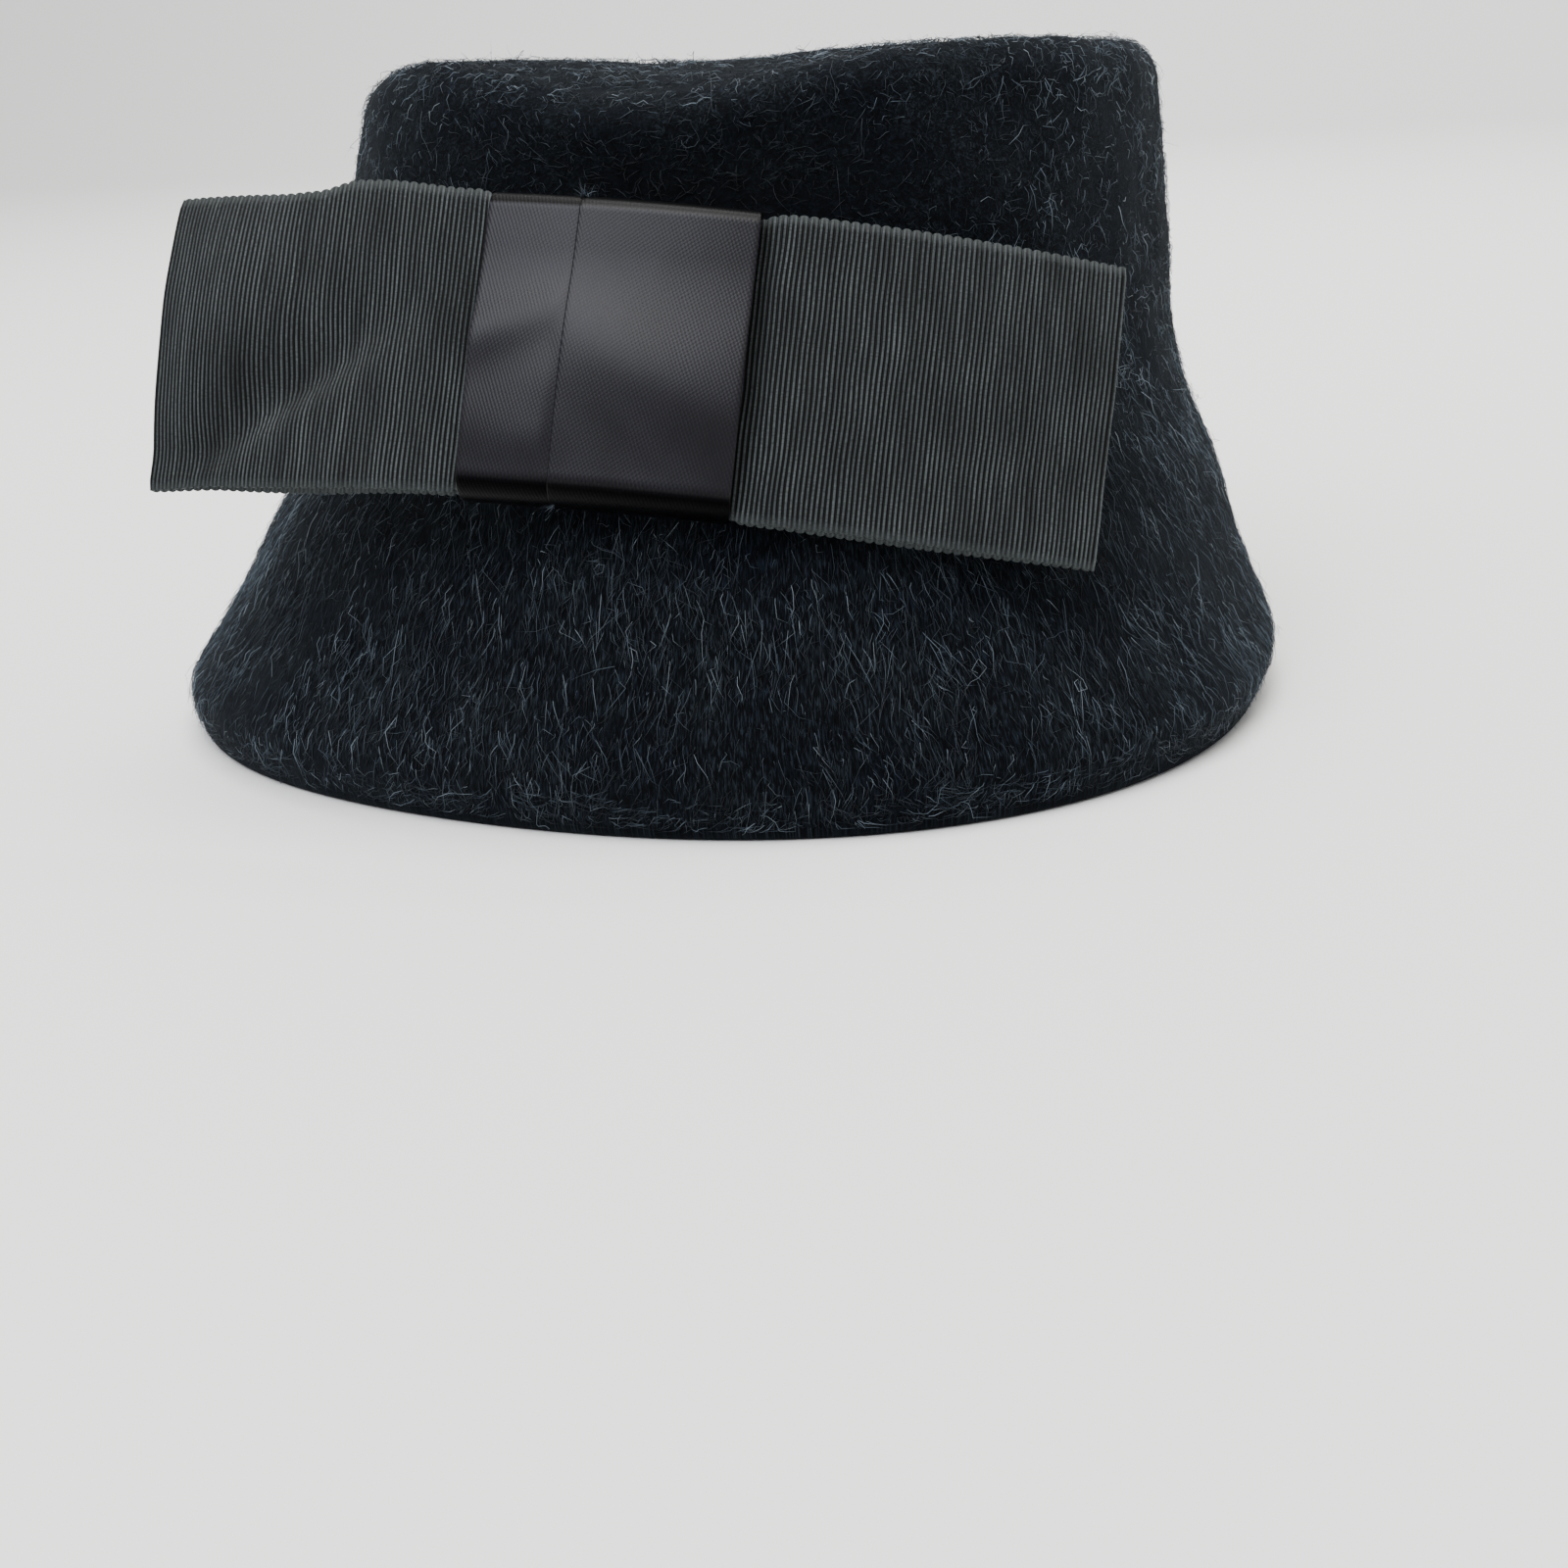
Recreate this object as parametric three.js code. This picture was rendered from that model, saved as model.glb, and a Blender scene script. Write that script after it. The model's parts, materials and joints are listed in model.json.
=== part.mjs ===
// A bucket-shaped felt hat: a tall flat-topped crown that runs into a short downturned brim in one piece of
// felt, with a wide ribbon bow across the front and a satin wrap round the bow's middle.
// Millimetres, +Z up, front towards -Y, the wearer's left towards +X. The rim stands on z = 0.
import * as THREE from 'three';

// Driving dimensions of the felt.
const crownHeight = 127;
const feltThickness = 3;
const rimThickness = 4;
const rimRound = 1.1;
const rimInnerRound = 0.6;
const crownEdgeRadius = 8.5;
const leanStart = 4;
const leanBack = 0.115;
const leanLeft = 0.06;
const topDropBack = 0.077;
const ringSegments = 64;
const wallRows = 19;

// The rim is pushed a little out of round: three low lobes that fade out where the brim meets the crown.
const rimWave = { lobes: 3, share: 0.054, angle: 44, fadeHeight: 65 };

// Dent pressed into the front of the crown, the dip that it leaves in the crown's edge, and the two places
// where that edge stands up. Angles are in degrees from the front centre.
const dent = { angle: 5, angleSpread: 24, height: 104, heightSpread: 15, depth: 5.5 };
const edgeChanges = [
  { angle: -3, angleSpread: 23.5, rise: -9.9 },
  { angle: -36, angleSpread: 13, rise: 3 },
  { angle: 100, angleSpread: 16, rise: 1.7 },
];
const tiltFrom = 60;

// Half axes of the outer oval at each height, from the rim to just under the crown's edge.
const feltSections = [
  { height: 2.2, halfWidth: 113, halfLength: 117.8 },
  { height: 9, halfWidth: 115.5, halfLength: 119.2 },
  { height: 18, halfWidth: 111.1, halfLength: 119.3 },
  { height: 29.5, halfWidth: 105, halfLength: 114.9 },
  { height: 43.5, halfWidth: 99, halfLength: 111.3 },
  { height: 59, halfWidth: 90.7, halfLength: 103.7 },
  { height: 71, halfWidth: 86.8, halfLength: 101 },
  { height: 87, halfWidth: 85.5, halfLength: 100 },
  { height: 102.5, halfWidth: 83.6, halfLength: 97.8 },
  { height: 118, halfWidth: 81.3, halfLength: 95.1 },
];

// Driving dimensions of the bow and of its wrap.
const bowSeat = new THREE.Vector3(2.1, -97.9, 82.9);
const bowYaw = 6.5;
const bowLean = 22;
const bowDroop = 7.1;
const bowBendRadius = 200;
const bowHalfLength = 89.7;
const ribbonWidth = 54;
const ribbonThickness = 1;
const bowDepthAtWrap = 3.8;
const bowDepthInLoop = 6.4;
const bowDepthAtFold = 2.4;
const ribbonSteps = 28;
const ribbonRows = 10;
const wrapHalfWidth = 23.8;
const wrapThickness = 1;
const wrapClearance = 0.35;
const pleatPlace = -7.4;
const pleatRun = 0.4;
const pleatStep = 0.9;
const pleatFade = 8;
const wrapCornerSteps = 4;
const wrapCornerRadius = 0.15;

// The loop on the wearer's right bows forwards towards its fold. Its front layer has one slanting crease.
const loopBulge = { depth: 2.7, middle: 5, reach: 23, curlBack: -0.2, foldFrom: 0.75, foldShare: 0.6 };
const loopCrease = { depth: 2.3, middle: -58, spread: 12.5, slope: 0.66, start: -45 };
const creaseSoftSide = 6.5;
const creaseSteepSide = 2.9;
const frontBulge = { from: 0.36, to: 0.86 };
const backBulge = { from: 0.45, to: 0.95 };
const loopGap = 0.4;

const toRadians = THREE.MathUtils.degToRad;

// Bell-shaped falloff: 1 at the middle, about 0.6 one spread away.
function bell(distance, spread) {
  return Math.exp(-0.5 * (distance / spread) ** 2);
}

// Degrees round the hat from its front centre, positive towards the wearer's left.
function degreesFromFront(angle) {
  return THREE.MathUtils.radToDeg(Math.atan2(Math.cos(angle), -Math.sin(angle)));
}

// A point of the felt's outer face. The row gives the oval and its height before the lean, dent and tilt.
function feltPoint(row, angle) {
  const turn = degreesFromFront(angle);
  const rimShare = Math.max(0, 1 - row.height / rimWave.fadeHeight);
  const wave = 1 + rimWave.share * rimShare * Math.cos(toRadians(rimWave.lobes * (turn - rimWave.angle)));
  const pressed = dent.depth * bell(turn - dent.angle, dent.angleSpread)
    * bell(row.height - dent.height, dent.heightSpread) * row.reach;
  const up = THREE.MathUtils.smoothstep(row.height, tiltFrom, crownHeight);
  const edgeRise = edgeChanges
    .reduce((sum, edge) => sum + edge.rise * bell(turn - edge.angle, edge.angleSpread), 0);
  const lean = Math.max(0, row.height - leanStart);
  const x = (row.halfWidth * wave - pressed) * Math.cos(angle);
  const y = (row.halfLength * wave - pressed) * Math.sin(angle);
  const z = row.height - topDropBack * y * up + edgeRise * up ** 3 * row.reach ** 2;
  return new THREE.Vector3(x + leanLeft * lean, y + leanBack * lean, z);
}

// Rows of the outer face: rounded rim, smooth wall, rounded crown edge and flat top.
function feltRows() {
  const first = feltSections[0];
  const last = feltSections[feltSections.length - 1];
  const rows = [];
  for (const turn of [90, 45]) {
    const inset = rimRound * (1 - Math.cos(toRadians(turn)));
    rows.push({
      height: rimRound * (1 - Math.sin(toRadians(turn))),
      halfWidth: first.halfWidth - inset,
      halfLength: first.halfLength - inset,
      reach: 1,
    });
  }
  const places = feltSections.map((s) => new THREE.Vector3(s.halfWidth, s.halfLength, s.height));
  const wall = new THREE.CatmullRomCurve3(places, false, 'centripetal');
  for (const place of wall.getSpacedPoints(wallRows)) {
    rows.push({ height: place.z, halfWidth: place.x, halfLength: place.y, reach: 1 });
  }
  for (const turn of [20, 40, 60, 80]) {
    const inset = crownEdgeRadius * (1 - Math.cos(toRadians(turn)));
    rows.push({
      height: last.height + crownEdgeRadius * Math.sin(toRadians(turn)),
      halfWidth: last.halfWidth - inset,
      halfLength: last.halfLength - inset,
      reach: 1,
    });
  }
  for (const reach of [0.86, 0.58, 0.3]) {
    rows.push({
      height: crownHeight,
      halfWidth: last.halfWidth * reach,
      halfLength: last.halfLength * reach,
      reach,
    });
  }
  return rows;
}

// Triangles between two rings of the same length, wound so that the second ring lies further on.
function bridge(faces, from, to, count) {
  for (let k = 0; k < count; k += 1) {
    const next = (k + 1) % count;
    faces.push(from + k, from + next, to + next, from + k, to + next, to + k);
  }
}

function geometryOf(points, faces) {
  const geometry = new THREE.BufferGeometry();
  geometry.setAttribute('position', new THREE.Float32BufferAttribute(points.flatMap((p) => p.toArray()), 3));
  geometry.setIndex(faces);
  geometry.computeVertexNormals();
  return geometry;
}

// The felt is one wall: the outer face, the same face set in by the felt's thickness, and the rim.
function makeFelt() {
  const rows = feltRows();
  const points = [];
  for (const row of rows) {
    for (let k = 0; k < ringSegments; k += 1) {
      points.push(feltPoint(row, (k / ringSegments) * 2 * Math.PI));
    }
  }
  points.push(feltPoint({ height: crownHeight, halfWidth: 0, halfLength: 0, reach: 0 }, 0));

  const outerFaces = [];
  const lastRing = (rows.length - 1) * ringSegments;
  const pole = rows.length * ringSegments;
  for (let r = 0; r + 1 < rows.length; r += 1) {
    bridge(outerFaces, r * ringSegments, (r + 1) * ringSegments, ringSegments);
  }
  for (let k = 0; k < ringSegments; k += 1) {
    outerFaces.push(lastRing + k, lastRing + ((k + 1) % ringSegments), pole);
  }

  const normals = geometryOf(points, outerFaces).getAttribute('normal');
  const inner = points.map((point, index) => {
    const height = Math.max(0, point.z);
    const thickness = feltThickness + (rimThickness - feltThickness) * Math.exp(-height / 6);
    const normal = new THREE.Vector3().fromBufferAttribute(normals, index);
    return point.clone().addScaledVector(normal, -thickness);
  });
  // The lowest inner ring lies flat on z = 0, and the one above it makes the rim's inner rounding.
  for (let k = 0; k < ringSegments; k += 1) {
    const wall = inner[2 * ringSegments + k];
    const outward = new THREE.Vector3(wall.x, wall.y, 0).normalize();
    inner[k].copy(wall).addScaledVector(outward, rimInnerRound).setZ(0);
    inner[ringSegments + k].copy(wall).setZ(rimInnerRound);
  }

  const offset = points.length;
  const faces = [...outerFaces];
  for (let f = 0; f < outerFaces.length; f += 3) {
    faces.push(outerFaces[f] + offset, outerFaces[f + 2] + offset, outerFaces[f + 1] + offset);
  }
  bridge(faces, offset, 0, ringSegments);
  return geometryOf([...points, ...inner], faces);
}

// Bend the straight bow round the front of the crown: x runs along the ribbon, z out from the crown.
function bend(point) {
  const turn = point.x / bowBendRadius;
  const radius = bowBendRadius + point.z;
  return new THREE.Vector3(radius * Math.sin(turn), point.y, radius * Math.cos(turn) - bowBendRadius);
}

// A closed band: rings of the same length laid one after another, the last joined to the first.
function makeBand(rings) {
  const size = rings[0].length;
  const faces = [];
  rings.forEach((ring, r) => {
    bridge(faces, r * size, ((r + 1) % rings.length) * size, size);
  });
  return geometryOf(rings.flat().map(bend), faces);
}

// Depth of the flattened ribbon ring, front face to back face, at a place along the bow.
function bowDepth(place) {
  const fromWrap = Math.max(0, Math.abs(place) - wrapHalfWidth);
  const across = Math.min(1, fromWrap / (bowHalfLength - wrapHalfWidth));
  const ends = THREE.MathUtils.lerp(bowDepthAtWrap, bowDepthAtFold, across);
  return ends + (bowDepthInLoop - ends) * Math.sin(Math.PI * across) ** 1.5;
}

// How far a layer of the loop is pushed outwards at a place along the bow and a height across it.
function loopWave(place, height, isFront) {
  const out = (-place - wrapHalfWidth) / (bowHalfLength - wrapHalfWidth);
  const fromMiddle = (height - loopBulge.middle) / loopBulge.reach;
  const atFold = 1 - (1 - loopBulge.foldShare) * THREE.MathUtils.smoothstep(out, loopBulge.foldFrom, 1);
  const bow = loopBulge.depth * atFold * THREE.MathUtils.clamp(1 - fromMiddle ** 2, loopBulge.curlBack, 1);
  const aboveCrease = height - loopCrease.slope * (place - loopCrease.start);
  const across = bell(aboveCrease, aboveCrease > 0 ? creaseSoftSide : creaseSteepSide);
  const crease = loopCrease.depth * across * bell(place - loopCrease.middle, loopCrease.spread);
  const front = bow * THREE.MathUtils.smoothstep(out, frontBulge.from, frontBulge.to) - crease;
  if (isFront) {
    return front;
  }
  const room = bowDepth(place) - 2 * ribbonThickness - loopGap;
  return Math.min(bow * THREE.MathUtils.smoothstep(out, backBulge.from, backBulge.to), front + room);
}

// The ribbon of the bow: one length of grosgrain folded flat into a ring, a loop to each side of the wrap.
function makeRibbon() {
  const halfWidth = ribbonWidth / 2;
  const front = [];
  for (let k = 0; k <= ribbonSteps; k += 1) {
    const place = bowHalfLength * (2 * (k / ribbonSteps) - 1);
    front.push(new THREE.Vector2(place, 0));
  }
  const back = front.slice().reverse().map((p) => new THREE.Vector2(p.x, -bowDepth(p.x)));
  const path = [...front, ...back];
  const rings = path.map((place, index) => {
    const before = path[(index + path.length - 1) % path.length];
    const after = path[(index + 1) % path.length];
    const along = after.clone().sub(before).normalize();
    const inward = new THREE.Vector2(along.y, -along.x);
    const atFold = Math.abs(place.x) > bowHalfLength - 0.01;
    const step = ribbonThickness * (atFold ? Math.SQRT2 : 1);
    const inside = place.clone().addScaledVector(inward, step);
    const isFront = index <= ribbonSteps;
    const at = (point, row) => {
      const height = halfWidth * (1 - (2 * row) / ribbonRows);
      return new THREE.Vector3(point.x, height, point.y + loopWave(place.x, height, isFront));
    };
    const rows = Array.from({ length: ribbonRows + 1 }, (unused, row) => row);
    return [...rows.map((row) => at(place, row)), ...rows.reverse().map((row) => at(inside, row))];
  });
  return makeBand(rings);
}

// The satin wrap: a band round the middle of the bow, with a pleat that laps over it down the front.
function makeWrap() {
  const top = ribbonWidth / 2 + wrapClearance;
  const front = wrapClearance;
  const back = -bowDepthAtWrap - wrapClearance;
  const path = [];
  const addCorner = (y, z, from) => {
    for (let k = 0; k <= wrapCornerSteps; k += 1) {
      const turn = toRadians(from + (90 * k) / wrapCornerSteps);
      path.push({
        y: y + wrapCornerRadius * Math.cos(turn),
        z: z + wrapCornerRadius * Math.sin(turn),
        outY: Math.cos(turn),
        outZ: Math.sin(turn),
        lap: Math.max(0, Math.sin(turn)) ** pleatFade,
      });
    }
  };
  addCorner(top, front, 0);
  addCorner(-top, front, 90);
  addCorner(-top, back, 180);
  addCorner(top, back, 270);

  const pleat = [pleatPlace, pleatPlace + pleatRun].map((place) => place / wrapHalfWidth);
  const stations = [-1, -0.65, ...pleat, 0, 0.35, 0.7, 1];
  const rings = path.map((place) => {
    const at = (share, reach) => new THREE.Vector3(
      share * wrapHalfWidth,
      place.y + place.outY * reach,
      place.z + place.outZ * reach,
    );
    const outside = stations.map((share) => {
      const lapped = share * wrapHalfWidth > pleatPlace ? pleatStep * place.lap : 0;
      return at(share, wrapThickness + lapped);
    });
    const inside = stations.map((share) => at(share, 0));
    return [...outside.reverse(), ...inside];
  });
  return makeBand(rings);
}

function addMesh(parent, name, geometry, colour, roughness) {
  const material = new THREE.MeshStandardMaterial({ color: colour, roughness, metalness: 0 });
  const mesh = new THREE.Mesh(geometry, material);
  mesh.name = name;
  parent.add(mesh);
  return mesh;
}

const hat = new THREE.Group();
addMesh(hat, 'felt_body', makeFelt(), 0x1a1e23, 0.95);

const bowPlace = new THREE.Group();
bowPlace.position.copy(bowSeat);
bowPlace.rotation.z = toRadians(bowYaw);
hat.add(bowPlace);

const bowTurn = new THREE.Group();
bowTurn.rotation.x = toRadians(90 - bowLean);
bowPlace.add(bowTurn);

const ribbon = addMesh(bowTurn, 'bow_ribbon', makeRibbon(), 0x343836, 0.8);
ribbon.rotation.z = toRadians(-bowDroop);
const wrap = addMesh(bowTurn, 'satin_wrap', makeWrap(), 0x36353c, 0.4);
wrap.rotation.z = toRadians(-bowDroop);

// The origin is under the middle of the whole hat, on the surface that the rim rests on.
const extent = new THREE.Box3().setFromObject(hat);
const middle = extent.getCenter(new THREE.Vector3());
hat.position.set(-middle.x, -middle.y, -extent.min.z);

export default hat;
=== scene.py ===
import json
import math

import bmesh
import bpy
import numpy as np
from mathutils import Matrix, Vector

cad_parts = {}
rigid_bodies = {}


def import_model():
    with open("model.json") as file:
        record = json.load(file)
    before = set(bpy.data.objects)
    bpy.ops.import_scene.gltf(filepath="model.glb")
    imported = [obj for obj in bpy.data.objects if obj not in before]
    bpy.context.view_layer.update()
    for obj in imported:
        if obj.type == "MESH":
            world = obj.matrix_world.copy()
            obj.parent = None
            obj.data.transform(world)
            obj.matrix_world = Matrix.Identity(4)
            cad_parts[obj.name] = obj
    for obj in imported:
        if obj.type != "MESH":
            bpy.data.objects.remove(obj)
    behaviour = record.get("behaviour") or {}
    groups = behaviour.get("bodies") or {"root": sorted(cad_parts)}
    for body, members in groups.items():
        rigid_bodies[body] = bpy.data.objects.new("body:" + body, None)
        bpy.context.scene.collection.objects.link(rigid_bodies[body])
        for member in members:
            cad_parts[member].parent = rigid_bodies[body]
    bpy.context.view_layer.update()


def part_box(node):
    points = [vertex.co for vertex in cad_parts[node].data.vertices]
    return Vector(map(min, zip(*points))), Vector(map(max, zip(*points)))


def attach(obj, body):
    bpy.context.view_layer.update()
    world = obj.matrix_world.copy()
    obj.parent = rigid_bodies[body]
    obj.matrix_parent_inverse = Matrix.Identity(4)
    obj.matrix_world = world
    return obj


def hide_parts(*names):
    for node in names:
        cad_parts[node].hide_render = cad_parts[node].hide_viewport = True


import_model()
mm = 0.001


# Camera, lights and floor

camera = {
    "place": (0.12347, -0.48716, 0.13329),
    "turn": 13.37,     # degrees that the view turns from +Y towards -X
    "down": 17.92,     # degrees that it looks below the horizon
    "roll": -3.44,
    "lens": 53.3,
    "sensor": 36,
}


def linearColour(code):
    parts = [int(code[k:k + 2], 16) / 255 for k in (1, 3, 5)]
    return tuple(p / 12.92 if p <= 0.04045 else ((p + 0.055) / 1.055) ** 2.4 for p in parts) + (1.0,)


def addNode(tree, kind, settings=None, links=None):
    node = tree.nodes.new(kind)
    for key, value in (settings or {}).items():
        if hasattr(node, key):
            setattr(node, key, value)
        else:
            node.inputs[key].default_value = value
    for key, socket in (links or {}).items():
        tree.links.new(socket, node.inputs[key])
    return node


def newMaterial(name):
    material = bpy.data.materials.new(name)
    material.use_nodes = True
    material.node_tree.nodes.clear()
    return material, material.node_tree


def finishMaterial(tree, surface):
    addNode(tree, "ShaderNodeOutputMaterial", links={"Surface": surface.outputs[0]})


def linkObject(name, data):
    made = bpy.data.objects.new(name, data)
    bpy.context.scene.collection.objects.link(made)
    return made


def makeCamera():
    data = bpy.data.cameras.new("camera")
    data.lens = camera["lens"]
    data.sensor_width = camera["sensor"]
    data.clip_start = 0.01
    made = linkObject("camera", data)
    turn = Matrix.Rotation(math.radians(camera["turn"]), 3, "Z")
    down = Matrix.Rotation(math.radians(90 - camera["down"]), 3, "X")
    roll = Matrix.Rotation(math.radians(camera["roll"]), 3, "Z")
    made.location = camera["place"]
    made.rotation_euler = (turn @ down @ roll).to_euler()
    bpy.context.scene.camera = made


lights = [
    {"name": "window", "place": (-0.3, -1.15, 1.5), "aim": (0, -0.05, 0.07),
     "size": 1.2, "power": 26, "tint": "#F4F7FF"},
    {"name": "ceiling", "place": (0.1, -0.15, 1.8), "aim": (0, 0, 0.05),
     "size": 1.6, "power": 46, "tint": "#FFFCF7"},
    {"name": "backdrop", "place": (0, 0.9, 1.9), "aim": (0, 2.9, 0.5),
     "size": 1.4, "power": 46, "tint": "#FFFFFF"},
]
worldLight = {"colour": "#FFFFFF", "strength": 0.62}
floorShape = {
    "front": 3.0, "back": 2.2, "wall": 3.0, "half": 4.5, "sweep": 1.0, "steps": 24, "colour": "#F6F6F5",
}


def makeLights():
    for light in lights:
        data = bpy.data.lights.new(light["name"], "AREA")
        data.shape = "DISK"
        data.size = light["size"]
        data.energy = light["power"]
        data.color = linearColour(light["tint"])[:3]
        made = linkObject(light["name"], data)
        made.location = light["place"]
        made.rotation_euler = (Vector(light["aim"]) - made.location).to_track_quat("-Z", "Y").to_euler()
    world = bpy.data.worlds.new("room")
    world.use_nodes = True
    background = world.node_tree.nodes["Background"]
    background.inputs["Color"].default_value = linearColour(worldLight["colour"])
    background.inputs["Strength"].default_value = worldLight["strength"]
    bpy.context.scene.world = world


def makeFloor():
    # A pale paper sweep: flat floor, curved up behind into a wall.
    bm = bmesh.new()
    left = bm.verts.new((-floorShape["half"], -floorShape["front"], 0))
    right = bm.verts.new((floorShape["half"], -floorShape["front"], 0))
    edge = [bm.edges.new((left, right))]

    def pull(offset):
        nonlocal edge
        made = bmesh.ops.extrude_edge_only(bm, edges=edge)["geom"]
        edge = [g for g in made if isinstance(g, bmesh.types.BMEdge) and not g.link_faces[1:]
                and all(v in made for v in g.verts)]
        bmesh.ops.translate(bm, verts=edge[0].verts, vec=offset)

    pull((0, floorShape["front"] + floorShape["back"], 0))
    for k in range(floorShape["steps"]):
        before, after = (math.radians(90 * (k + n) / floorShape["steps"]) for n in (0, 1))
        pull((0, floorShape["sweep"] * (math.sin(after) - math.sin(before)),
              floorShape["sweep"] * (math.cos(before) - math.cos(after))))
    pull((0, 0, floorShape["wall"]))
    bmesh.ops.recalc_face_normals(bm, faces=bm.faces)
    mesh = bpy.data.meshes.new("floor")
    bm.to_mesh(mesh)
    bm.free()
    mesh.shade_smooth()
    made = linkObject("floor", mesh)
    material, tree = newMaterial("Background paper, matt")
    surface = addNode(tree, "ShaderNodeBsdfPrincipled", {
        "Base Color": linearColour(floorShape["colour"]), "Roughness": 0.9, "IOR": 1.45})
    finishMaterial(tree, surface)
    mesh.materials.append(material)


makeCamera()
makeLights()
makeFloor()
print("camera, lights and floor are in place")


# Shared mesh tools

def bell(distance, spread):
    return np.exp(-0.5 * (distance / spread) ** 2)


def smoothStep(value, low, high):
    share = np.clip((value - low) / (high - low), 0, 1)
    return share * share * (3 - 2 * share)


def lumps(points, wavelength, seed):
    # Soft seeded noise of about -1 to 1 with one main wavelength, from a few crossing waves.
    random = np.random.default_rng(seed)
    total = np.zeros(len(points))
    waves = 14
    for _ in range(waves):
        direction = random.normal(size=3)
        direction *= 2 * math.pi / (wavelength * np.linalg.norm(direction))
        total += np.sin(points @ direction * random.uniform(0.6, 1.5) + random.uniform(0, 2 * math.pi))
    return total / math.sqrt(waves)


def warpedGrid(name, columns, rows, place):
    # A flat grid carried to its shape: place() takes 0..1 along and across and gives points in mm, with a UV
    # in metres for the weave and any extra values that the material reads.
    bm = bmesh.new()
    bmesh.ops.create_grid(bm, x_segments=columns, y_segments=rows, size=0.5)
    bm.verts.ensure_lookup_table()
    flat = np.array([v.co[:2] for v in bm.verts]) + 0.5
    points, uvs, values = place(flat[:, 0], flat[:, 1])
    uvLayer = bm.loops.layers.uv.new("weave")
    for face in bm.faces:
        for loop in face.loops:
            loop[uvLayer].uv = uvs[loop.vert.index]
    valueLayers = {key: bm.verts.layers.float.new(key) for key in values}
    for vert, point in zip(bm.verts, points * mm):
        vert.co = point
        for key, layer in valueLayers.items():
            vert[layer] = values[key][vert.index]
    bmesh.ops.remove_doubles(bm, verts=bm.verts, dist=1e-6)
    mesh = bpy.data.meshes.new(name)
    bm.to_mesh(mesh)
    bm.free()
    mesh.shade_smooth()
    return linkObject(name, mesh)


# Felt body

feltShape = {
    "crownHeight": 127, "thickness": 3, "rimThickness": 4, "edgeRadius": 8.5,
    "leanStart": 4, "leanBack": 0.115, "leanLeft": 0.06, "topDrop": 0.077, "tiltFrom": 60,
    "lobes": 3, "lobeShare": 0.054, "lobeAngle": 44, "lobeFade": 65,
    "dentAngle": 5, "dentAngleSpread": 24, "dentHeight": 104, "dentHeightSpread": 15, "dentDepth": 5.5,
    "edges": [{"angle": -3, "spread": 23.5, "rise": -9.9}, {"angle": -36, "spread": 13, "rise": 3},
              {"angle": 100, "spread": 16, "rise": 1.7}],
    # height, half width, half length of the outer oval
    "sections": np.array([
        (2.2, 113, 117.8), (9, 115.5, 119.2), (18, 111.1, 119.3), (29.5, 105, 114.9), (43.5, 99, 111.3),
        (59, 90.7, 103.7), (71, 86.8, 101), (87, 85.5, 100), (102.5, 83.6, 97.8), (118, 81.3, 95.1)]),
    "lumps": [(0.28, 26, 3), (0.10, 7, 4)],      # height, wavelength and seed of the felt's soft unevenness
    "rimFade": 6,                                # distance over which the rim's extra thickness fades
    "crownFrom": 52, "crownTo": 78,              # where the combed brim turns into the curled crown
    "around": 280, "innerRows": 26, "rimRows": 10, "outerRows": 116,
}
feltRows = feltShape["innerRows"] + feltShape["rimRows"] + feltShape["outerRows"]


def smoothTable(table, height):
    # Cubic curve through a table's rows, with each row's slope taken from its neighbours.
    x = table[:, 0]
    slopes = np.gradient(table[:, 1:], x, axis=0)
    k = np.clip(np.searchsorted(x, height) - 1, 0, len(x) - 2)
    step = (x[k + 1] - x[k])[:, None]
    t = ((height - x[k])[:, None]) / step
    low, high = table[k, 1:], table[k + 1, 1:]
    return (low * (2 * t ** 3 - 3 * t ** 2 + 1) + high * (3 * t ** 2 - 2 * t ** 3)
            + slopes[k] * step * (t ** 3 - 2 * t ** 2 + t) + slopes[k + 1] * step * (t ** 3 - t ** 2))


def feltProfile():
    # Rows of height, half width, half length and reach, from the rim up to the middle of the top. The reach
    # is how fully a row follows the dent and the crown's uneven edge: 1 on the wall, 0 in the top's middle.
    sections, radius = feltShape["sections"], feltShape["edgeRadius"]
    heights = np.linspace(sections[0, 0], sections[-1, 0], 160)
    wall = np.column_stack([heights, smoothTable(sections, heights), np.ones(len(heights))])
    turn = np.radians(np.linspace(0, 90, 31)[1:])
    inset = radius * (1 - np.cos(turn))
    last = sections[-1]
    edge = np.column_stack([last[0] + radius * np.sin(turn), last[1] - inset, last[2] - inset,
                            np.ones(len(turn))])
    share = np.linspace(1 - radius / last[1], 0, 50)[1:]
    rise = smoothStep(-share, -share[0], -0.7)
    height = last[0] + radius + (feltShape["crownHeight"] - last[0] - radius) * rise
    top = np.column_stack([height, last[1] * share, last[2] * share, share])
    rows = np.vstack([wall, edge, top])
    size = rows[:, 1] / last[1]
    rows[:, 3] = np.where(rows[:, 0] > last[0], np.interp(size, [0, 0.8, 0.93, 1.5], [0, 0.8, 1, 1]), 1)
    length = np.concatenate([[0], np.cumsum(np.hypot(np.diff(rows[:, 0]), np.diff(rows[:, 1])))])
    return rows, length


profileRows, profileLength = feltProfile()
outerLength = profileLength[-1]


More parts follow.
